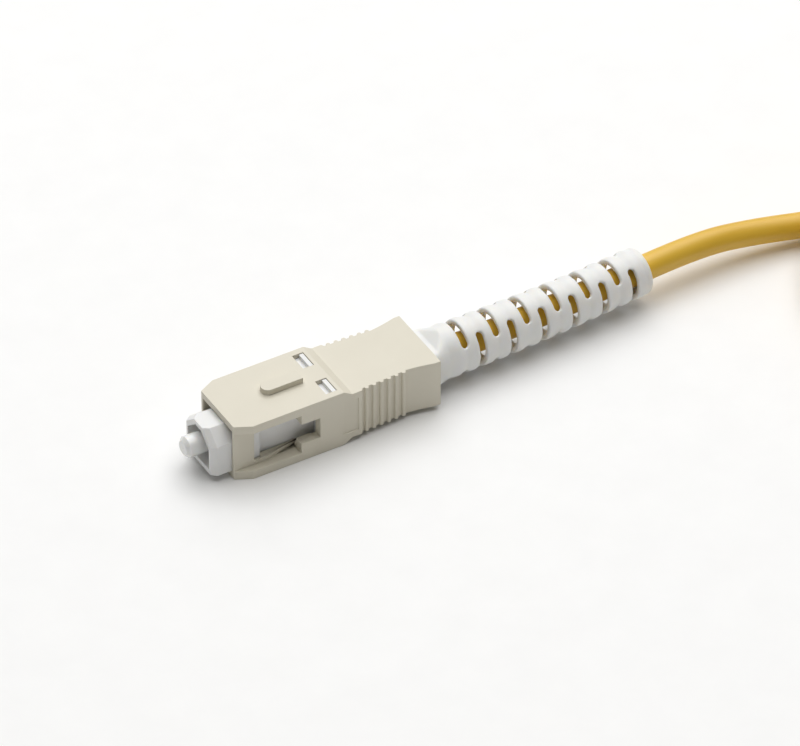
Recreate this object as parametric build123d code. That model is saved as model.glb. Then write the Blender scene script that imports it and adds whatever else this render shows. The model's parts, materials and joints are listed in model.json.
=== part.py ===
"""Simplex fibre optic patch cord, 1 m, with a push-pull SC connector on each end.

Millimetres, +Z up, lying on the plane z = 0. The origin is the bottom centre of the near
connector's box. Its ferrule points along -X, and the cord leaves its boot along +X, runs into
a tied hank, and comes out of it into the far connector, which lies beside the hank.

A connector is drawn in its own frame: x is the distance back from the ferrule's tip, and y and
z are measured from the axis of the ferrule.
"""

import os
from math import cos, degrees, pi, radians, sin, sqrt, tan

from build123d import *

# Clearances
slide_gap = 0.1
press_gap = 0.01
end_gap = 0.02
buffer_gap = 0.05
boot_wall_gap = 0.1

# Ferrule, with the bare fibre in its bore
ferrule_r = 1.25
ferrule_reach = 7.95
ferrule_seat = 2.55
ferrule_tip_chamfer = 0.4
ferrule_shank_step = 0.2
fibre_r = 0.0625
float_travel = 1.0

# Buffered fibre, guide tube and the flange that the ferrule is pressed into
buffer_r = 0.45
guide_tube_wall = 0.35
flange_across_flats = 3.3
flange_disc = 1.4
flange_floor = 0.5
flange_tail_wall = 0.6
flange_tail_gap = 0.6

# Spring
spring_wire_r = 0.19
spring_turns = 6.5

# Plug frame
frame_x = 1.9
frame_half_w = 3.1
frame_half_h = 2.75
frame_bevel_length = 0.65
frame_bevel_w = 0.5
frame_bevel_h = 0.06
frame_rim = 0.28
frame_corner_w = 1.7
frame_corner_h = 1.5
ear_length = 5.85
catch_length = 7.05
catch_depth = 0.65
shoulder_step = 0.15
frame_rear_length = 6.7
web = 0.8
bore_gap = 0.045
tab_length = 0.5
tab_y_inner = 1.35
tab_overhang = 0.4

# Grip
grip_setback = 2.4
grip_length = 25.3
grip_side_wall = 1.15
grip_top_wall = 0.85
grip_rear_wall = 0.55
grip_corner = (1.9, 0.95)
grip_step = 0.65
grip_step_length = 1.05
grip_step_gap = 0.45
grip_travel = 0.8
window_inset = 0.9
window_wall = 0.45
pad_end = 0.35

# Key on top of the grip
key_setback = 5.45
key_length = 4.75
key_half_w = 0.85
key_height = 0.7

# Side channels of the grip, where a coupler's hooks run
channel_wall = 0.35
channel_margin = 0.15
side_wall_length = 2.55
side_window_half_h = 2.1
ramp_setback = 0.7
ramp_length = 3.75
ramp_gap = 0.2
catch_block_half_h = 1.35
catch_block_gap = 0.25

# Finger grip of the grip, from the label panel back to the flared tail
panel_length = 2.35
panel_half_h = 2.45
panel_rim = 0.22
panel_depth = 0.14
panel_gap = 0.45
rib_count = 6
rib_pitch = 0.95
rib_width = 0.5
rib_height = 0.3
waist_depth = (0.35, 0.6)
waist_lead = 0.25
flare_length = 3.2
flare_bulge = 0.4
grip_tail = 0.7

# Stop body, crimp ring and yarn
stop_insert = 3.5
stop_collar = 0.8
stop_collar_rim = 0.35
stop_barrel_wall = 0.6
stop_barrel_length = 5.2
stop_groove = 0.12
stop_groove_count = 5
lug_inset = 2.3
lug_length = 0.8
lug_half_h = 0.6
yarn = 0.25
crimp_wall = 0.33
crimp_setback = 0.2
crimp_grip = 2.6

# Cable
cable_r = 1.5
jacket_wall = 0.5
jacket_gap = 0.88
jacket_hollow_gap = 0.4
jacket_solid = 0.5
cord_length = 1000.0

# Boot
boot_root_side_gap = 0.35
boot_root_top_gap = 0.2
boot_root_corner = 0.95
boot_root_blend = 1.4
boot_wall = (1.58, 1.24)
boot_crest = 0.05
boot_pinch = 0.12
boot_end_fillet = 0.3
boot_end_land = 0.4
boot_shell = 0.62
boot_end_grip = 0.9
boot_bend = 1.2
slot_setback = 2.1
slot_pitch = 2.0
slot_count = 12
slot_width = 0.9
slot_half_angle = 57

# How the cord is put away: a hank of nine runs, five on its near side and four on its far side
hank_x = 60.0
hank_depth = 27.0
near_columns = 3
far_columns = 2
hank_layers = 2
tie_gap = 0.05
notch_gap = 0.4
tie_width = 5.0
tie_thickness = 0.4
far_side_gap = 2.0
far_shift = 1.6

# Radii, out from the fibre
guide_tube_r = buffer_r + buffer_gap + guide_tube_wall
ferrule_shank_r = ferrule_r - ferrule_shank_step
flange_tail_r = buffer_r + flange_tail_wall
flange_neck_r = flange_across_flats / 2
bore_r = flange_neck_r / cos(radians(30)) + bore_gap
spring_r = (flange_tail_r + bore_r) / 2
stop_collar_r = bore_r + stop_collar_rim
stop_barrel_r = guide_tube_r + stop_barrel_wall
yarn_r = stop_barrel_r + yarn
crimp_r = yarn_r + crimp_wall
crimp_neck_r = cable_r + crimp_wall
boot_r = (cable_r + boot_wall[0], cable_r + boot_wall[1])

# Half widths and half heights, out from the plug frame
catch_half_w = frame_half_w - catch_depth
shoulder_half_w = frame_half_w + shoulder_step
tab_y = (tab_y_inner, shoulder_half_w + tab_overhang)
window_y = (tab_y[0] - slide_gap / 2, tab_y[1] + slide_gap / 2)
channel_floor = frame_half_w + slide_gap + channel_wall
channel_half_h = frame_half_h - channel_margin
grip_half_w = shoulder_half_w + slide_gap + grip_side_wall
grip_half_h = frame_half_h + slide_gap + grip_top_wall
waist_half_w = (grip_half_w - waist_depth[0], grip_half_w - waist_depth[1])
grip_rear_half_h = grip_half_h - grip_step - grip_rear_wall
shoulder_half_h = grip_rear_half_h - slide_gap
pocket_top = grip_half_h - window_wall
boot_root_half_w = shoulder_half_w + slide_gap - boot_root_side_gap
boot_root_half_h = grip_rear_half_h - boot_root_top_gap
axis_z = grip_half_h

# Places along the axis, back from the ferrule's tip
flange_x = ferrule_reach
ferrule_x_end = flange_x + ferrule_seat
flange_x_end = ferrule_x_end + flange_floor
cavity_x_end = flange_x - slide_gap / 2 - web
ear_x_end = frame_x + ear_length
shoulder_x = ear_x_end + catch_length
frame_x_end = shoulder_x + frame_rear_length
stop_x = frame_x_end - stop_insert
flange_tail_end = stop_x - float_travel - flange_tail_gap
lug_x = (frame_x_end - lug_inset, frame_x_end - lug_inset + lug_length)
stop_collar_x = frame_x_end + end_gap
stop_barrel_x = stop_collar_x + stop_collar
stop_barrel_end = stop_barrel_x + stop_barrel_length
jacket_x = stop_barrel_end + jacket_gap
crimp_neck_x = jacket_x - crimp_setback
crimp_x_end = jacket_x + crimp_grip
jacket_hollow_end = crimp_x_end + jacket_hollow_gap
buffer_x_end = crimp_x_end - float_travel

grip_x = frame_x + grip_setback
grip_x_end = grip_x + grip_length
key_x = (grip_x + key_setback, grip_x + key_setback + key_length)
side_wall_x_end = grip_x + side_wall_length
ramp_x = (ear_x_end + ramp_setback, ear_x_end + ramp_setback + ramp_length)
catch_block_x_end = shoulder_x - catch_block_gap
window_x = shoulder_x + window_inset
window_x_end = window_x + grip_travel + tab_length + slide_gap / 2
grip_step_x = window_x_end + grip_step_gap
flare_x_end = grip_x_end - grip_tail
rib_x_end = flare_x_end - flare_length
rib_x = rib_x_end - rib_count * rib_pitch
panel_x = (rib_x - panel_gap - panel_length, rib_x - panel_gap)

boot_root_x_end = grip_x_end + grip_travel + slide_gap
boot_body_x = max(boot_root_x_end + boot_root_blend, jacket_hollow_end + jacket_solid)
slot_x = boot_body_x + slot_setback
boot_x_end = slot_x + slot_count * slot_pitch + boot_end_land
bend_radius = (boot_x_end - boot_body_x) ** 2 / (2 * boot_bend)
bend_angle = (boot_x_end - boot_body_x) / bend_radius


def on_boot_axis(x):
    """The place and direction of the boot's axis at x: straight at first, then a gentle arc."""
    a = max(0, x - boot_body_x) / bend_radius
    if a == 0:
        return Location((x, 0, 0))
    return Location((boot_body_x + bend_radius * sin(a), bend_radius * (1 - cos(a)), 0), (0, 0, degrees(a)))


boot_end = on_boot_axis(boot_x_end).position
connector_length = boot_end.X + (boot_r[1] - boot_end_fillet) * sin(bend_angle)


def block(x0, x1, half_w, half_h):
    return Pos((x0 + x1) / 2, 0, 0) * Box(x1 - x0, 2 * half_w, 2 * half_h)


def box(x0, x1, y0, y1, z0, z1):
    return Pos((x0 + x1) / 2, (y0 + y1) / 2, (z0 + z1) / 2) * Box(x1 - x0, abs(y1 - y0), abs(z1 - z0))


def rod(r, x0, x1):
    return Pos((x0 + x1) / 2, 0, 0) * Rot(0, 90, 0) * Cylinder(r, x1 - x0)


def both_sides(solid):
    return solid + mirror(solid, Plane.XZ)


def top_and_bottom(solid):
    return solid + mirror(solid, Plane.XY)


def section_at(x):
    """The plane across the connector at x, with its x along +Y and its y along +Z."""
    return Plane(origin=(x, 0, 0), x_dir=(0, 1, 0), z_dir=(1, 0, 0))


def ferrule():
    """The bare part runs to the plug frame's web; the rest is a thinner shank, pressed into the flange."""
    body = rod(ferrule_r, 0, cavity_x_end)
    body = chamfer(body.edges().filter_by(GeomType.CIRCLE).sort_by(Axis.X)[0], ferrule_tip_chamfer)
    body += rod(ferrule_shank_r, cavity_x_end, ferrule_x_end)
    return body - rod(fibre_r, -1, ferrule_x_end + 1)


def bare_fibre():
    return rod(fibre_r, 0, ferrule_x_end)


def hexagon(across_flats, x0, x1):
    face = section_at(x0) * RegularPolygon(across_flats / 2, 6, major_radius=False)
    return extrude(face, x1 - x0)


def ferrule_flange():
    disc_end = flange_x + flange_disc
    body = hexagon(flange_across_flats, flange_x, disc_end)
    body += rod(flange_neck_r, disc_end, flange_x_end)
    body += rod(flange_tail_r, flange_x_end, flange_tail_end)
    body -= rod(ferrule_shank_r, flange_x - 1, ferrule_x_end)
    return body - rod(buffer_r, ferrule_x_end, flange_tail_end + 1)


def buffered_fibre():
    return rod(buffer_r, ferrule_x_end, buffer_x_end)


def guide_tube():
    start = stop_x + end_gap
    tube = rod(guide_tube_r, start, stop_barrel_end)
    return tube - rod(buffer_r + buffer_gap, start - 1, stop_barrel_end + 1)


def ferrule_spring():
    start = flange_x_end + spring_wire_r + end_gap
    end = stop_x - spring_wire_r - end_gap
    coil = Helix(pitch=(end - start) / spring_turns, height=end - start, radius=spring_r)
    wire = sweep(Plane(origin=coil @ 0, z_dir=coil % 0) * Circle(spring_wire_r), path=coil)
    return Pos(start, 0, 0) * Rot(0, 90, 0) * wire


def frame_outline(inset_w=0.0, inset_h=0.0):
    """Cross-section of the plug frame's nose: two large chamfers on top and square corners below."""
    w, h = frame_half_w - inset_w, frame_half_h - inset_h
    flat, shoulder = w - frame_corner_w, h - frame_corner_h
    return Polygon((-w, -h), (w, -h), (w, shoulder), (flat, h), (-flat, h), (-w, shoulder), align=None)


def plug_frame():
    bevel_end = frame_x + frame_bevel_length
    front = section_at(frame_x) * frame_outline(frame_bevel_w, frame_bevel_h)
    nose = loft([front, section_at(bevel_end) * frame_outline()])
    nose += extrude(section_at(bevel_end) * frame_outline(), shoulder_x - bevel_end)
    body = nose + block(shoulder_x, frame_x_end, shoulder_half_w, shoulder_half_h)
    tall = frame_half_h + 1
    body -= both_sides(box(ear_x_end, shoulder_x, catch_half_w, frame_half_w + 1, -tall, tall))
    mouth = section_at(frame_x - 1) * frame_outline(frame_bevel_w + frame_rim, frame_bevel_h + 2 * frame_rim)
    body -= extrude(mouth, cavity_x_end - frame_x + 1)
    body -= rod(ferrule_r + slide_gap, cavity_x_end - 1, flange_x)
    pocket_end = flange_x + flange_disc + float_travel + slide_gap
    body -= hexagon(flange_across_flats + 2 * slide_gap, flange_x - slide_gap / 2, pocket_end)
    body -= rod(bore_r, pocket_end - flange_disc, frame_x_end + 1)
    lug_window_h = lug_half_h + slide_gap
    lug_window = box(
        lug_x[0] - slide_gap, lug_x[1] + slide_gap, 0, shoulder_half_w + 1, -lug_window_h, lug_window_h
    )
    body -= both_sides(lug_window)
    return body + top_and_bottom(both_sides(window_tab()))


def window_tab():
    """The block that stops the grip at both ends of its slide, on the pad that backs its window."""
    x1 = window_x + grip_travel + tab_length
    x0 = x1 - tab_length
    pad_x, pad_x_end = window_x - slide_gap, window_x_end + pad_end
    pad_top = pocket_top - slide_gap
    stem = box(pad_x, pad_x_end, tab_y[0], shoulder_half_w, shoulder_half_h - slide_gap, pad_top)
    pad = box(pad_x, pad_x_end, tab_y[0], tab_y[1], grip_rear_half_h + slide_gap, pad_top)
    return stem + pad + box(x0, x1, tab_y[0], tab_y[1], pad_top - slide_gap, grip_half_h - slide_gap)


def grip_plan():
    """Outline of the grip from above: chamfered nose, ribbed waist and flared tail."""
    w, front, back = grip_half_w, grip_x, grip_x_end
    half = [
        (front, w - grip_corner[1]),
        (front + grip_corner[0], w),
        (rib_x - waist_lead, w),
        (rib_x, waist_half_w[0]),
        (rib_x_end, waist_half_w[1]),
    ]
    waist = Polyline(*half)
    bulge = ((rib_x_end + flare_x_end) / 2, waist_half_w[1] + flare_bulge * waist_depth[1])
    flare = ThreePointArc(half[-1], bulge, (flare_x_end, w))
    tail = Polyline((flare_x_end, w), (back, w), (back, 0), (front, 0), half[0])
    face = make_face([waist, flare, tail])
    return face + mirror(face, Plane.XZ)


def grip_profile():
    """Outline of the grip from the side: the rear two fifths are lower, above and below."""
    h, low = grip_half_h, grip_half_h - grip_step
    top = [(grip_x, h), (grip_step_x, h), (grip_step_x + grip_step_length, low), (grip_x_end, low)]
    points = top + [(x, -z) for x, z in reversed(top)]
    return Plane.XZ * Polygon(*points, align=None)


def rib(number):
    x = rib_x + (number + 0.5) * rib_pitch
    share = (number + 0.5) / rib_count
    base = waist_half_w[0] + share * (waist_half_w[1] - waist_half_w[0])
    top = base + rib_height
    solid = box(x - rib_width / 2, x + rib_width / 2, base - 0.1, top, -grip_half_h, grip_half_h)
    return fillet(solid.edges().filter_by(Axis.Z).group_by(Axis.Y)[-1], 0.45 * rib_width)


def label_panel():
    """The shallow bare panel that is sunk in each side, inside a rim."""
    x0, x1 = panel_x[0] + panel_rim, panel_x[1] - panel_rim
    half_h = panel_half_h - panel_rim
    return box(x0, x1, grip_half_w - panel_depth, grip_half_w + 1, -half_h, half_h)


def side_channel():
    """What is cut from one side of the grip to let a coupler's hook in."""
    outside = grip_half_w + 1
    inside = frame_half_w
    start, block_h = grip_x - 1, catch_block_half_h
    cut = box(start, ramp_x[1], channel_floor, outside, -channel_half_h, channel_half_h)
    cut += box(start, catch_block_x_end, channel_floor, outside, -block_h, block_h)
    cut += box(side_wall_x_end, ramp_x[1], inside, outside, -side_window_half_h, side_window_half_h)
    cut += box(side_wall_x_end, catch_block_x_end, inside, outside, -block_h, block_h)
    ramp_foot = catch_half_w + ramp_gap
    slope = Plane.XY * Polygon(
        (ramp_x[0], channel_floor), (ramp_x[1], channel_floor), (ramp_x[1], ramp_foot), align=None
    )
    return cut + extrude(slope, channel_half_h, both=True)


def hook_ramp():
    """The strip along one edge of the side window, which spreads a coupler's hook as the grip is pulled."""
    x0 = ear_x_end + slide_gap
    x1 = shoulder_x - grip_travel - slide_gap
    return box(x0, x1, catch_half_w + slide_gap, channel_floor, side_window_half_h, channel_half_h)


def grip():
    body = extrude(Plane.XY * grip_plan(), grip_half_h, both=True)
    for number in range(rib_count):
        body += both_sides(rib(number))
    body &= extrude(grip_profile(), grip_half_w + 1, both=True)
    body -= both_sides(label_panel())
    front_half_h = frame_half_h + slide_gap
    body -= block(grip_x - 1, shoulder_x + slide_gap, frame_half_w + slide_gap, front_half_h)
    rear_x = shoulder_x - grip_travel - slide_gap
    body -= block(rear_x, grip_x_end + 1, shoulder_half_w + slide_gap, grip_rear_half_h)
    body += top_and_bottom(both_sides(hook_ramp()))
    body -= both_sides(side_channel())
    window = box(window_x, window_x_end, window_y[0], window_y[1], grip_rear_half_h, grip_half_h + 1)
    pocket_x, pocket_x_end = window_x - grip_travel - 2 * slide_gap, window_x_end + pad_end + slide_gap
    pocket = box(pocket_x, pocket_x_end, window_y[0], window_y[1], grip_rear_half_h, pocket_top)
    body -= top_and_bottom(both_sides(window + pocket))
    return body + grip_key()


def grip_key():
    """The rib on top that lets the plug into a coupler one way up only."""
    x0, x1 = key_x
    key = box(x0, x1, -key_half_w, key_half_w, grip_half_h - 0.2, grip_half_h + key_height)
    front = key.edges().filter_by(Axis.Z).group_by(Axis.X)[0]
    return fillet(front, 0.95 * key_half_w)


def stop_body():
    body = rod(bore_r - press_gap, stop_x, stop_collar_x)
    body += rod(stop_collar_r, stop_collar_x, stop_barrel_x)
    body += rod(stop_barrel_r, stop_barrel_x, stop_barrel_end)
    lug = box(lug_x[0], lug_x[1], 0, shoulder_half_w - slide_gap, -lug_half_h, lug_half_h)
    body += both_sides(lug)
    pitch = stop_barrel_length / (stop_groove_count + 1)
    for number in range(stop_groove_count):
        x = stop_barrel_x + (number + 1) * pitch
        ring = rod(stop_barrel_r + 1, x - pitch / 5, x + pitch / 5)
        body -= ring - rod(stop_barrel_r - stop_groove, x - pitch, x + pitch)
    return body - rod(guide_tube_r, stop_x - 1, stop_barrel_end + 1)


def aramid_yarn():
    """The strength yarn: folded back over the stop body's barrel, and running on inside the jacket."""
    sleeve = rod(yarn_r, stop_barrel_x + 2 * slide_gap, jacket_x)
    sleeve -= rod(stop_barrel_r, stop_x, stop_barrel_end)
    core = rod(cable_r - jacket_wall, jacket_x, jacket_hollow_end)
    return sleeve + core - rod(buffer_r + buffer_gap, stop_x, jacket_hollow_end + 1)


def crimp_ring():
    wide = rod(crimp_r, stop_barrel_x + slide_gap, crimp_neck_x)
    neck = rod(crimp_neck_r, crimp_neck_x, crimp_x_end)
    hollow = rod(yarn_r, stop_x, jacket_x) + rod(cable_r, jacket_x - 0.1, crimp_x_end + 1)
    return wide + neck - hollow


def cable_jacket():
    """The last stretch of cable, held in the crimp ring and seen through the boot's slots."""
    straight = rod(cable_r, jacket_x, boot_body_x)
    straight -= rod(cable_r - jacket_wall, jacket_x - 1, jacket_hollow_end)
    return straight + along_boot(cable_r, boot_body_x, boot_x_end)


def along_boot(r, x0, x1):
    """A round rod along the curved part of the boot's axis."""
    start, middle, end = (on_boot_axis(x).position for x in (x0, (x0 + x1) / 2, x1))
    path = ThreePointArc(start, middle, end)
    return sweep(Plane(origin=start, z_dir=path % 0) * Circle(r), path=path)


def boot_section_at(x):
    """The plane across the boot at x."""
    return Plane(on_boot_axis(x) * section_at(0).location)


def root_section(x, half_w, half_h, corner):
    return boot_section_at(x) * RectangleRounded(2 * half_w, 2 * half_h, corner)


def boot_radius(x):
    share = (x - boot_body_x) / (boot_x_end - boot_body_x)
    return boot_r[0] + share * (boot_r[1] - boot_r[0])


def boot_body():
    """The tapered body: a crest over each ring, and a pinch at each row of slots."""
    stations = [(boot_body_x, -boot_pinch / 2)]
    steps = 6
    for step in range((slot_count + 1) * steps):
        wave = cos(2 * pi * step / steps)
        x = slot_x + slot_pitch * (step / steps - 0.5)
        if x < boot_x_end - 2 * boot_end_fillet:
            stations.append((x, boot_crest * max(wave, 0) + boot_pinch * min(wave, 0)))
    for share in (1, 0.6, 0.3, 0.1, 0):
        drop = boot_end_fillet * (1 - sqrt(1 - (1 - share) ** 2))
        stations.append((boot_x_end - share * boot_end_fillet, -drop))
    faces = [boot_section_at(x) * Circle(boot_radius(x) + more) for x, more in stations]
    return loft(faces, ruled=True)


def boot_hollow():
    """The room round the cable: the boot is a thin shell that closes on the cable at its end."""
    start, end = boot_body_x + boot_pinch, boot_x_end - boot_end_grip
    stations = [start + (end - start) * step / slot_count for step in range(slot_count + 1)]
    faces = [boot_section_at(x) * Circle(boot_radius(x) - boot_shell) for x in stations]
    return loft(faces, ruled=True)


def slot_cutters(x, first_side):
    """What is cut for the two opposite slots at one station of the boot, each with round ends."""
    reach = boot_r[0] + 1
    half_turn = radians(slot_half_angle) - slot_width / 2 / boot_radius(x)
    corner = reach / cos(half_turn / 2)
    for side in (first_side, first_side + pi):
        ends = (side - half_turn, side + half_turn)
        fan = [(0, 0)] + [(corner * cos(a), corner * sin(a)) for a in (ends[0], side, ends[1])]
        yield on_boot_axis(x) * extrude(section_at(-slot_width / 2) * Polygon(*fan, align=None), slot_width)
        for a in ends:
            middle = Pos(0, cos(a) * reach / 2, sin(a) * reach / 2)
            yield on_boot_axis(x) * middle * Rot(degrees(a) - 90, 0, 0) * Cylinder(slot_width / 2, reach)


def boot():
    root_x = stop_barrel_x + slide_gap
    root = root_section(root_x, boot_root_half_w, boot_root_half_h, boot_root_corner)
    body = extrude(root, boot_root_x_end - root_x)
    neck_r = boot_radius(boot_body_x) - boot_pinch / 2
    body += loft(
        [
            root_section(boot_root_x_end, boot_root_half_w, boot_root_half_h, boot_root_corner),
            root_section(boot_body_x, neck_r, neck_r, neck_r - 0.01),
        ]
    )
    body += boot_body()
    crimp_room = max(crimp_r, crimp_neck_r) + boot_wall_gap
    body -= rod(crimp_room, root_x - 1, crimp_x_end + boot_wall_gap)
    body -= rod(cable_r + boot_wall_gap, root_x - 1, boot_body_x + 0.05)
    body -= along_boot(cable_r + boot_wall_gap, boot_body_x, boot_x_end + 1)
    cutters = [boot_hollow()]
    for number in range(slot_count):
        first_side = pi / 2 if number % 2 == 0 else 0
        cutters += slot_cutters(slot_x + number * slot_pitch, first_side)
    return body - cutters


connector = {
    "grip": grip,
    "plug_frame": plug_frame,
    "ferrule": ferrule,
    "bare_fibre": bare_fibre,
    "ferrule_flange": ferrule_flange,
    "buffered_fibre": buffered_fibre,
    "guide_tube": guide_tube,
    "ferrule_spring": ferrule_spring,
    "stop_body": stop_body,
    "aramid_yarn": aramid_yarn,
    "crimp_ring": crimp_ring,
    "boot": boot,
    "cable_jacket": cable_jacket,
}


def along(route):
    """The path of a tube: straight runs along the route, joined by arcs as large as the runs allow."""
    radii = []
    for before, corner, after in zip(route, route[1:], route[2:]):
        come, go = Vector(corner) - Vector(before), Vector(after) - Vector(corner)
        half_turn = radians(come.get_angle(go)) / 2
        radii.append(0.45 * min(come.length, go.length) / tan(half_turn))
    print("arc radii", [round(r, 1) for r in radii])
    return FilletPolyline(*route, radius=radii)


def cord_tube(path):
    tube = sweep(Plane(origin=path @ 0, z_dir=path % 0) * Circle(cable_r), path=path)
    print("tube volume over section times length", round(tube.volume / (pi * cable_r**2 * path.length), 4))
    return tube


strand = 2 * cable_r
low_z = tie_thickness + cable_r
top_z = low_z + (hank_layers - 1) * strand
far_y = -(hank_depth + cable_r + far_side_gap + grip_half_w)
near_end = boot_end + Vector(-connector_length / 2, 0, axis_z)
along_boot_end = Vector(cos(bend_angle), sin(bend_angle), 0)

lead_route = [
    near_end,
    near_end + 7.9 * along_boot_end,
    Vector(44.5, 1.6, 2.7),
    Vector(52.3, 0, low_z),
    Vector(hank_x, 0, low_z),
]
lead_path = along(lead_route)


def tail_route(x):
    """From the top of the hank's near side at x, round its rear fold, to the far boot."""
    far_end = Vector(x + far_shift, far_y + boot_end.Y, axis_z)
    return [
        Vector(x, 0, top_z),
        Vector(x + 13.3, 0, top_z),
        Vector(x + 22.9, -9.2, 2.0),
        Vector(x + 23.6, -22.5, 1.5),
        far_end + 13.3 * along_boot_end,
        far_end,
    ]


rear_folds = [hank_depth, hank_depth - 2 * strand, hank_depth - 3 * strand, hank_depth - strand]
front_folds = [hank_depth - strand, hank_depth - 3 * strand, hank_depth - 2 * strand, hank_depth]
fold_length = pi / 2 * sum(rear_folds + front_folds)
free_length = cord_length - 2 * boot_x_end
free_ends = lead_path.length + along(tail_route(0)).length
run_count = 2 * hank_layers * far_columns + 1
hank_run = (free_length - free_ends - fold_length) / run_count
hank_x_end = hank_x + hank_run


def racetrack(x0, x1, y0, y1):
    """A slot-shaped face whose straight sides run from x0 to x1."""
    height = y1 - y0
    return Pos((x0 + x1) / 2, (y0 + y1) / 2) * SlotCenterToCenter(x1 - x0, height)


def cord_hank():
    """The outer shape of the hank, notched where the cord comes in below and goes out on top."""
    outer = racetrack(hank_x, hank_x_end, -hank_depth - cable_r, cable_r)
    eye = (-hank_depth + (far_columns - 0.5) * strand, -(near_columns - 0.5) * strand)
    inner = racetrack(hank_x, hank_x_end, *eye)
    height = hank_layers * strand
    body = Pos(0, 0, tie_thickness) * extrude(outer - inner, height)
    inside, outside = -cable_r - notch_gap, cable_r + 1
    middle = tie_thickness + strand
    top = tie_thickness + height + 1
    body -= box(hank_x - hank_depth, hank_x, inside, outside, 0, middle + tie_gap)
    body -= box(hank_x_end, hank_x_end + hank_depth, inside, outside, middle - tie_gap, top)
    return body


def hank_tie(columns, y_outer, direction):
    """A strap round one side of the hank, halfway along its run."""
    width = columns * strand + 2 * tie_gap
    height = hank_layers * strand
    middle_y = y_outer + direction * columns * strand / 2
    middle = Pos((hank_x + hank_x_end) / 2, middle_y, tie_thickness + height / 2)
    outside = Box(tie_width, width + 2 * tie_thickness, height + 2 * tie_thickness)
    outside = fillet(outside.edges().filter_by(Axis.X), 2 * tie_thickness)
    return middle * (outside - Box(tie_width + 1, width, height))


def near_tie():
    return hank_tie(near_columns, cable_r, -1)


def far_tie():
    return hank_tie(far_columns, -hank_depth - cable_r, 1)


def write(name, solid):
    solid.label = name
    export_step(solid, f"parts/{name}.step")


def main():
    os.makedirs("parts", exist_ok=True)
    print("hank run", round(hank_run, 2))
    far_x = hank_x_end + far_shift - boot_end.X
    places = {"near": Pos(-connector_length / 2, 0, axis_z), "far": Pos(far_x, far_y, axis_z)}
    for piece, draw in connector.items():
        solid = draw()
        for end, place in places.items():
            write(f"{end}_{piece}", place * solid)
    write("cord_lead", cord_tube(lead_path))
    write("cord_hank", cord_hank())
    write("cord_tail", cord_tube(along(tail_route(hank_x_end))))
    write("near_hank_tie", near_tie())
    write("far_hank_tie", far_tie())


main()
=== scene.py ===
"""Looks of a simplex fibre optic patch cord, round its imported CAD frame. Everything is in metres."""

import json
import math

import bpy
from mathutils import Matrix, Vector

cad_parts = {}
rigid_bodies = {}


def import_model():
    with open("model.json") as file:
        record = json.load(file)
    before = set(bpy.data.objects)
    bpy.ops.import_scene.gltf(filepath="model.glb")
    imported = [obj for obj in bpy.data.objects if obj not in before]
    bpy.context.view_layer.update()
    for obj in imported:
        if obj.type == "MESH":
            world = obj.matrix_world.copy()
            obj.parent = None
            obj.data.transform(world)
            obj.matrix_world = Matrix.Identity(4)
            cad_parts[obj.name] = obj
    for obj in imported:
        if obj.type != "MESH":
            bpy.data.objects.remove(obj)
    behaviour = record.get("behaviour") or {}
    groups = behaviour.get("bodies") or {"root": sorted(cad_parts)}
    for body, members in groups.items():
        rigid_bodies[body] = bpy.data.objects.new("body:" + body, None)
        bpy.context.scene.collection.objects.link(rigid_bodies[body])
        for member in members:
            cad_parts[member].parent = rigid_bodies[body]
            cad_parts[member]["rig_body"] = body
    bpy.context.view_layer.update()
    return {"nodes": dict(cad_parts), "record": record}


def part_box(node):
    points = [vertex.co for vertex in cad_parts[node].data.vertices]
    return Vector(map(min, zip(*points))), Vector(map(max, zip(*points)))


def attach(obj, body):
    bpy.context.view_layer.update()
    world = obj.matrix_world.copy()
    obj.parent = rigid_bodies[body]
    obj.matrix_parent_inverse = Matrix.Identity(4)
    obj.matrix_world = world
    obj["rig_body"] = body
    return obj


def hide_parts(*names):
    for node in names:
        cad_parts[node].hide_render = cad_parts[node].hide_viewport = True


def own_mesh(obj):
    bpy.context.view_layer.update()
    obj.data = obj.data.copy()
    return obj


MM = 0.001
ENDS = ("near", "far")

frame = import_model()

# The cord: its radius, its thickness, and the heights of the hank's two layers
CABLE_R = 1.5 * MM
STRAND = 2 * CABLE_R
LOW = 1.9 * MM
TOP = LOW + STRAND

# Its route outside the hank, in millimetres: from the near boot to the hank, and from the hank's
# rear end, which these places are measured from, to the far boot
LEAD = [
    (29.072, 1.199, 3.7),
    (36.94, 1.914, 3.7),
    (44.5, 1.6, 2.7),
    (52.3, 0.0, 1.9),
]
TAIL = [
    (13.3, 0.0, 4.9),
    (22.9, -9.2, 2.0),
    (23.6, -22.5, 1.5),
    (14.85, -32.6, 3.7),
    (1.6, -33.80, 3.7),
]


# ---------------------------------------------------------------- materials


def tree(name):
    """A new material with a Principled shader, and what adds a node to it or joins two."""
    material = bpy.data.materials.new(name)
    material.use_nodes = True
    nodes, links = material.node_tree.nodes, material.node_tree.links
    shader = nodes["Principled BSDF"]

    def add(kind, **values):
        node = nodes.new(kind)
        for key, value in values.items():
            if key in node.inputs:
                node.inputs[key].default_value = value
            else:
                setattr(node, key, value)
        return node

    return material, shader, add, links.new


def shades(add, join, factor, dark, light):
    """A colour ramp from dark to light, driven by factor."""
    ramp = add("ShaderNodeValToRGB")
    ramp.color_ramp.elements[0].position = 0.3
    ramp.color_ramp.elements[0].color = (*dark, 1)
    ramp.color_ramp.elements[1].position = 0.7
    ramp.color_ramp.elements[1].color = (*light, 1)
    join(factor, ramp.inputs["Fac"])
    return ramp.outputs["Color"]


def stretched(add, join, scale):
    """Object coordinates, stretched so that a pattern runs along X."""
    place = add("ShaderNodeTexCoord")
    mapping = add("ShaderNodeMapping")
    mapping.inputs["Scale"].default_value = scale
    join(place.outputs["Object"], mapping.inputs["Vector"])
    return mapping.outputs["Vector"]


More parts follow.
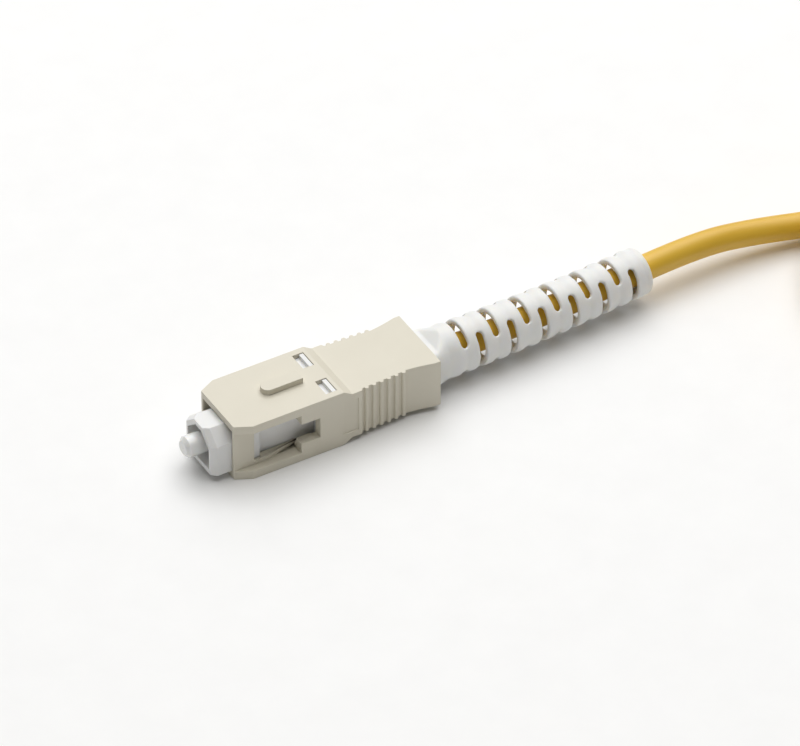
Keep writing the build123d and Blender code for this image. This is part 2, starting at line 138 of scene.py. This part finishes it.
def bumped(add, join, shader, height, strength, distance):
    bump = add("ShaderNodeBump", Strength=strength, Distance=distance)
    join(height, bump.inputs["Height"])
    join(bump.outputs["Normal"], shader.inputs["Normal"])


def roughened(add, join, shader, factor, low, high):
    spread = add("ShaderNodeMapRange")
    spread.inputs["To Min"].default_value = low
    spread.inputs["To Max"].default_value = high
    join(factor, spread.inputs["Value"])
    join(spread.outputs["Result"], shader.inputs["Roughness"])


def moulded(name, dark, light, rough, grain, strength, stretch=(1, 1, 1), soft=0.0, depth=0.6 * MM, coat=0.0):
    """Moulded or drawn material: cloudy shade, uneven gloss and a fine grain.

    grain is the grain's size. soft is how far light enters the material, down to this depth.
    """
    material, shader, add, join = tree(name)
    vector = stretched(add, join, stretch)
    cloud = add("ShaderNodeTexNoise", Scale=180.0, Detail=3.0, Roughness=0.55)
    fine = add("ShaderNodeTexNoise", Scale=1 / grain, Detail=4.0, Roughness=0.6)
    join(vector, cloud.inputs["Vector"])
    join(vector, fine.inputs["Vector"])
    join(shades(add, join, cloud.outputs["Fac"], dark, light), shader.inputs["Base Color"])
    roughened(add, join, shader, cloud.outputs["Fac"], rough[0], rough[1])
    bumped(add, join, shader, fine.outputs["Fac"], strength, 0.05 * MM)
    if soft:
        shader.inputs["Subsurface Weight"].default_value = soft
        shader.inputs["Subsurface Radius"].default_value = (1.0, 0.85, 0.65)
        shader.inputs["Subsurface Scale"].default_value = depth
    if coat:
        shader.inputs["Coat Weight"].default_value = coat
        shader.inputs["Coat Roughness"].default_value = 0.08
    return material


def turned(name, dark, light, rough):
    """Turned metal: fine rings round X."""
    material = moulded(name, dark, light, rough, 0.12 * MM, 0.25, stretch=(6, 0.2, 0.2))
    material.node_tree.nodes["Principled BSDF"].inputs["Metallic"].default_value = 1.0
    return material


def glass(name):
    material = moulded(name, (0.86, 0.9, 0.94), (0.92, 0.95, 0.98), (0.02, 0.06), 0.05 * MM, 0.02)
    shader = material.node_tree.nodes["Principled BSDF"]
    shader.inputs["Transmission Weight"].default_value = 0.8
    shader.inputs["IOR"].default_value = 1.46
    return material


def napped(name):
    """The loop side of hook-and-loop tape: rows of small tufts."""
    material, shader, add, join = tree(name)
    vector = stretched(add, join, (1, 1, 1))
    tufts = add("ShaderNodeTexVoronoi", Scale=3200.0, Randomness=0.7)
    fuzz = add("ShaderNodeTexNoise", Scale=9000.0, Detail=3.0)
    both = add("ShaderNodeMath", operation="ADD")
    join(vector, tufts.inputs["Vector"])
    join(vector, fuzz.inputs["Vector"])
    join(tufts.outputs["Distance"], both.inputs[0])
    join(fuzz.outputs["Fac"], both.inputs[1])
    colour = shades(add, join, tufts.outputs["Distance"], (0.035, 0.036, 0.04), (0.012, 0.012, 0.014))
    join(colour, shader.inputs["Base Color"])
    roughened(add, join, shader, fuzz.outputs["Fac"], 0.8, 0.98)
    bumped(add, join, shader, both.outputs["Value"], 0.8, 0.12 * MM)
    shader.inputs["Sheen Weight"].default_value = 0.35
    shader.inputs["Sheen Roughness"].default_value = 0.5
    return material


def yarn(name):
    dark, light = (0.62, 0.47, 0.12), (0.82, 0.68, 0.3)
    material = moulded(name, dark, light, (0.5, 0.7), 0.06 * MM, 0.7, stretch=(0.05, 1, 1))
    material.node_tree.nodes["Principled BSDF"].inputs["Sheen Weight"].default_value = 0.3
    return material


MATERIALS = {
    "grip_plastic": moulded(
        "grip_plastic", (0.67, 0.63, 0.525), (0.695, 0.655, 0.55), (0.42, 0.52), 0.16 * MM, 0.1
    ),
    "frame_plastic": moulded(
        "frame_plastic", (0.76, 0.76, 0.755), (0.79, 0.79, 0.785), (0.26, 0.36), 0.3 * MM, 0.05, soft=0.25
    ),
    "zirconia": moulded(
        "zirconia", (0.79, 0.79, 0.78), (0.83, 0.83, 0.82), (0.1, 0.16), 0.2 * MM, 0.015, soft=0.45, coat=0.5
    ),
    "glass_fibre": glass("glass_fibre"),
    "flange_metal": turned("flange_metal", (0.5, 0.49, 0.47), (0.66, 0.65, 0.62), (0.25, 0.38)),
    "buffer_plastic": moulded(
        "buffer_plastic", (0.8, 0.79, 0.74), (0.86, 0.85, 0.8), (0.4, 0.5), 0.2 * MM, 0.08
    ),
    "tube_plastic": moulded(
        "tube_plastic", (0.8, 0.81, 0.82), (0.88, 0.88, 0.89), (0.3, 0.4), 0.2 * MM, 0.06
    ),
    "spring_steel": turned("spring_steel", (0.42, 0.42, 0.43), (0.58, 0.58, 0.6), (0.2, 0.32)),
    "stop_metal": turned("stop_metal", (0.6, 0.58, 0.53), (0.76, 0.74, 0.69), (0.2, 0.34)),
    "yarn": yarn("yarn"),
    "crimp_metal": turned("crimp_metal", (0.62, 0.62, 0.63), (0.78, 0.78, 0.79), (0.28, 0.4)),
    "boot_rubber": moulded(
        "boot_rubber",
        (0.78, 0.78, 0.765),
        (0.81, 0.81, 0.8),
        (0.36, 0.48),
        0.22 * MM,
        0.12,
        soft=0.5,
        depth=0.8 * MM,
    ),
    "jacket": moulded(
        "jacket",
        (0.70, 0.42, 0.035),
        (0.79, 0.51, 0.06),
        (0.3, 0.42),
        0.2 * MM,
        0.14,
        stretch=(0.15, 1, 1),
        soft=0.08,
    ),
    "tie_strap": napped("tie_strap"),
}


def paint(piece, slot):
    piece.data.materials.clear()
    piece.data.materials.append(MATERIALS[slot])


for row in frame["record"]["subparts"]:
    paint(frame["nodes"][row["node"]], row["material_slot"])


# ---------------------------------------------------------------- mouldings


def settled(source, name, modifiers):
    """A new object with source's mesh after these modifiers, each given as its kind and its settings."""
    draft = bpy.data.objects.new(name, source.data.copy())
    if "custom_normal" in draft.data.attributes:
        draft.data.attributes.remove(draft.data.attributes["custom_normal"])
    bpy.context.scene.collection.objects.link(draft)
    for face in draft.data.polygons:
        face.use_smooth = True
    for kind, settings in modifiers:
        modifier = draft.modifiers.new(kind, kind)
        for key, value in settings.items():
            setattr(modifier, key, value)
    bpy.context.view_layer.update()
    mesh = bpy.data.meshes.new_from_object(draft.evaluated_get(bpy.context.evaluated_depsgraph_get()))
    bpy.data.objects.remove(draft)
    piece = bpy.data.objects.new(name, mesh)
    bpy.context.scene.collection.objects.link(piece)
    return piece


def moulding(node, slot, modifiers):
    """A piece with soft, moulded edges, which stands for a CAD node and rides on its body."""
    source = frame["nodes"][node]
    piece = settled(source, f"{node}_moulding", modifiers)
    paint(piece, slot)
    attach(piece, source["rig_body"])
    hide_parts(node)
    return piece


def crisp(width):
    """Planar faces joined up and their edges rounded to this radius."""
    return [
        ("WELD", {"merge_threshold": 0.002 * MM}),
        ("DECIMATE", {"decimate_type": "DISSOLVE", "angle_limit": math.radians(0.4)}),
        (
            "BEVEL",
            {"width": width, "segments": 3, "limit_method": "ANGLE", "angle_limit": math.radians(24)},
        ),
        ("WEIGHTED_NORMAL", {"keep_sharp": False, "weight": 100}),
    ]


def rubbery(voxel):
    """Remeshed finely and relaxed, so that every edge is round."""
    return [
        ("REMESH", {"mode": "VOXEL", "voxel_size": voxel, "use_smooth_shade": True}),
        ("SMOOTH", {"factor": 0.5, "iterations": 3}),
    ]


mouldings = {}
for end in ENDS:
    mouldings[end] = [
        moulding(f"{end}_grip", "grip_plastic", crisp(0.16 * MM)),
        moulding(f"{end}_plug_frame", "frame_plastic", crisp(0.1 * MM)),
        moulding(f"{end}_boot", "boot_rubber", rubbery(0.11 * MM)),
    ]


# ---------------------------------------------------------------- cord


def fold(x, y_from, y_to, rear, z_from, z_to):
    """Control points of a half turn at x, from the strand at y_from to the one at y_to."""
    steps = 6
    climb = 1.9
    half_step = math.pi / steps / 2
    radius = abs(y_to - y_from) / 2
    out = radius / math.cos(half_step)
    lead_in = radius * math.tan(half_step)
    side = 1 if rear else -1
    turn = 1 if y_from > y_to else -1
    middle = (y_from + y_to) / 2
    yield (x - side * lead_in, y_from, z_from)
    for step in range(steps):
        angle = (2 * step + 1) * half_step
        rise = min(1, climb * (step + 0.5) / steps)
        z = z_from + rise * rise * (3 - 2 * rise) * (z_to - z_from)
        yield (x + side * out * math.sin(angle), middle + turn * out * math.cos(angle), z)
    yield (x - side * lead_in, y_to, z_to)


def hank(x0, x1):
    """Control points of the folds between the hank's runs. A run is its column and its layer's height."""
    columns = (0, -9, -1, -8, -2, -8, -1, -9, 0)
    layers = 5 * (LOW,) + 4 * (TOP,)
    runs = list(zip(columns, layers))
    for number, ((a, z_a), (b, z_b)) in enumerate(zip(runs, runs[1:])):
        rear = number % 2 == 0
        yield from fold(x1 if rear else x0, a * STRAND, b * STRAND, rear, z_a, z_b)


def nurbs(name, points):
    """One open spline with these control points."""
    curve = bpy.data.curves.new(name, "CURVE")
    curve.dimensions = "3D"
    spline = curve.splines.new("NURBS")
    spline.points.add(len(points) - 1)
    for point, place in zip(spline.points, points):
        point.co = (*place, 1)
    spline.order_u = 3
    spline.use_endpoint_u = True
    spline.resolution_u = 10
    return curve


hank_low, hank_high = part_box("cord_hank")
outer_fold_r = 4.5 * STRAND
fold_reach = outer_fold_r + CABLE_R
hank_ends = (hank_low.x + fold_reach, hank_high.x - fold_reach)
route = [tuple(v * MM for v in p) for p in LEAD]
route += [(hank_ends[0], 0.0, LOW)]
route += list(hank(*hank_ends))
route += [(hank_ends[1], 0.0, TOP)]
route += [(hank_ends[1] + x * MM, y * MM, z * MM) for x, y, z in TAIL]

cord_curve = nurbs("cord", route)
cord_curve.bevel_depth = CABLE_R
cord_curve.bevel_resolution = 7
cord = bpy.data.objects.new("cord", cord_curve)
bpy.context.scene.collection.objects.link(cord)
paint(cord, "jacket")
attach(cord, "cord")
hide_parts("cord_lead", "cord_hank", "cord_tail")


# ---------------------------------------------------------------- springs


def tube_mesh(name, points, radius, sides):
    """A closed tube through these points."""
    vertices, faces = [], []
    for number, point in enumerate(points):
        ahead = points[min(number + 1, len(points) - 1)] - points[max(number - 1, 0)]
        across = ahead.cross(Vector((1, 0, 0))).normalized()
        other = ahead.cross(across).normalized()
        for side in range(sides):
            angle = 2 * math.pi * side / sides
            vertices.append(point + radius * (math.cos(angle) * across + math.sin(angle) * other))
    for ring in range(len(points) - 1):
        for side in range(sides):
            a, b = ring * sides + side, ring * sides + (side + 1) % sides
            faces.append((a, b, b + sides, a + sides))
    faces.append(tuple(range(sides)))
    faces.append(tuple(reversed(range(len(vertices) - sides, len(vertices)))))
    mesh = bpy.data.meshes.new(name)
    mesh.from_pydata([tuple(v) for v in vertices], [], faces)
    mesh.validate()
    for face in mesh.polygons:
        face.use_smooth = True
    return mesh


def spring(end):
    """The ferrule's spring, with closed end coils. It is squeezed against the stop body."""
    low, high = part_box(f"{end}_ferrule_spring")
    wire = 0.19 * MM
    closed_pitch = 2.1 * wire
    middle = (low + high) / 2
    radius = (high.z - low.z) / 2 - wire
    length = high.x - low.x - 2 * wire
    turns, closed, steps, sides = 8, 1, 28, 10
    pitch = (length - 2 * closed * closed_pitch) / (turns - 2 * closed)
    points, x = [], low.x + wire
    count = turns * steps
    for number in range(count + 1):
        turn = number / steps
        angle = 2 * math.pi * turn
        points.append(Vector((x, middle.y + radius * math.cos(angle), middle.z + radius * math.sin(angle))))
        at_end = turn < closed or turn >= turns - closed
        x += (closed_pitch if at_end else pitch) / steps
    name = f"{end}_spring_coil"
    piece = bpy.data.objects.new(name, tube_mesh(name, points, wire, sides))
    bpy.context.scene.collection.objects.link(piece)
    paint(piece, "spring_steel")
    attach(piece, "cord")
    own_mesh(piece)
    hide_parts(f"{end}_ferrule_spring")
    return piece


springs = {end: spring(end) for end in ENDS}


# ---------------------------------------------------------------- ties


def wrapped(low, high, thick):
    """The middle line of a strap in Y and Z: once round this box, and on over its own start on top."""
    corner = 1.3 * MM
    start_share, end_share = 0.7, 0.1
    corner_steps, over_steps = 6, 8
    y0, y1 = low.y + thick / 2, high.y - thick / 2
    z0, z1 = low.z + thick / 2, high.z - thick / 2
    flat = y1 - y0 - 2 * corner
    start = y0 + corner + start_share * flat
    line = [(start, z1)]
    for cy, cz, first in (
        (y0 + corner, z1 - corner, 90), (y0 + corner, z0 + corner, 180),
        (y1 - corner, z0 + corner, 270), (y1 - corner, z1 - corner, 0),
    ):
        for step in range(corner_steps + 1):
            a = math.radians(first + 90 * step / corner_steps)
            line.append((cy + corner * math.cos(a), cz + corner * math.sin(a)))
    end = y0 + corner + end_share * flat
    for step in range(over_steps + 1):
        line.append((start + (end - start) * step / over_steps, z1 + thick))
    return line


def strap_mesh(name, line, x_range, thick):
    """A closed band of this thickness whose middle follows the line."""
    x0, x1 = x_range
    vertices, faces = [], []
    last = len(line) - 1
    for number, (y, z) in enumerate(line):
        ya, za = line[max(number - 1, 0)]
        yb, zb = line[min(number + 1, last)]
        tangent = Vector((0, yb - ya, zb - za)).normalized()
        normal = Vector((0, tangent.z, -tangent.y))
        for x, side in ((x0, 0.5), (x1, 0.5), (x1, -0.5), (x0, -0.5)):
            vertices.append(Vector((x, y, z)) + side * thick * normal)
    for number in range(last):
        a = 4 * number
        for k in range(4):
            after = (k + 1) % 4
            faces.append((a + k, a + after, a + 4 + after, a + 4 + k))
    faces.append((3, 2, 1, 0))
    faces.append(tuple(4 * last + k for k in range(4)))
    mesh = bpy.data.meshes.new(name)
    mesh.from_pydata([tuple(v) for v in vertices], [], faces)
    mesh.validate()
    return mesh


def strap(end):
    node = f"{end}_hank_tie"
    low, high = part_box(node)
    thick = 0.4 * MM
    band = strap_mesh(f"{end}_tie_band", wrapped(low, high, thick), (low.x, high.x), thick)
    draft = bpy.data.objects.new(f"{end}_tie_draft", band)
    rounding = {"width": 0.08 * MM, "segments": 2, "limit_method": "ANGLE", "angle_limit": math.radians(40)}
    modifiers = [("BEVEL", rounding), ("WEIGHTED_NORMAL", {"keep_sharp": False})]
    piece = settled(draft, f"{end}_tie_strap", modifiers)
    bpy.data.objects.remove(draft)
    paint(piece, "tie_strap")
    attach(piece, "cord")
    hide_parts(node)
    return piece


straps = [strap(end) for end in ENDS]

nodes = [row["node"] for row in frame["record"]["subparts"]]
far_pieces = [frame["nodes"][node] for node in nodes if node.startswith("far_")]
on_cord = [piece for piece in far_pieces if not piece.hide_render]
on_cord += mouldings["far"] + [springs["far"]] + straps


# ---------------------------------------------------------------- studio


def area_light(name, place, size, power, colour):
    """A square softbox that faces the object."""
    light = bpy.data.lights.new(name, "AREA")
    light.shape = "SQUARE"
    light.size = size
    light.energy = power
    light.color = colour
    lamp = bpy.data.objects.new(name, light)
    lamp.location = place
    lamp.rotation_euler = (-Vector(place)).to_track_quat("-Z", "Y").to_euler()
    bpy.context.scene.collection.objects.link(lamp)


area_light("overhead", (0.15, 0.25, 1.25), 1.6, 19.0, (1.0, 1.0, 1.0))
area_light("behind", (0.5, 0.85, 0.82), 1.0, 5.0, (1.0, 1.0, 1.0))

world = bpy.data.worlds.new("studio")
world.use_nodes = True
world.node_tree.nodes["Background"].inputs["Color"].default_value = (1.0, 0.98, 0.9, 1)
world.node_tree.nodes["Background"].inputs["Strength"].default_value = 0.15
bpy.context.scene.world = world
bpy.context.scene.view_settings.view_transform = "Standard"

FLOOR = 6.0
corners = [(-FLOOR, -FLOOR, 0), (FLOOR, -FLOOR, 0), (FLOOR, FLOOR, 0), (-FLOOR, FLOOR, 0)]
floor_mesh = bpy.data.meshes.new("floor")
floor_mesh.from_pydata(corners, [], [(0, 1, 2, 3)])
floor = bpy.data.objects.new("floor", floor_mesh)
bpy.context.scene.collection.objects.link(floor)
paper = moulded("floor", (0.9, 0.9, 0.9), (0.92, 0.92, 0.92), (0.8, 0.9), 2 * MM, 0.02)
floor.data.materials.append(paper)

# The camera looks down at the near connector from the front left, through a long lens
TARGET = Vector((-2.2, 0.0, 2.9)) * MM
DISTANCE = 0.969
AWAY = Vector((-0.386, -0.663, 0.639)).normalized()
camera_data = bpy.data.cameras.new("camera")
camera_data.lens = 400
camera_data.sensor_width = 36
camera_data.clip_start = 0.05
camera_data.clip_end = 50
camera = bpy.data.objects.new("camera", camera_data)
camera.location = TARGET + DISTANCE * AWAY
camera.rotation_euler = (-AWAY).to_track_quat("-Z", "Y").to_euler()
bpy.context.scene.collection.objects.link(camera)
bpy.context.scene.camera = camera

bpy.context.view_layer.update()
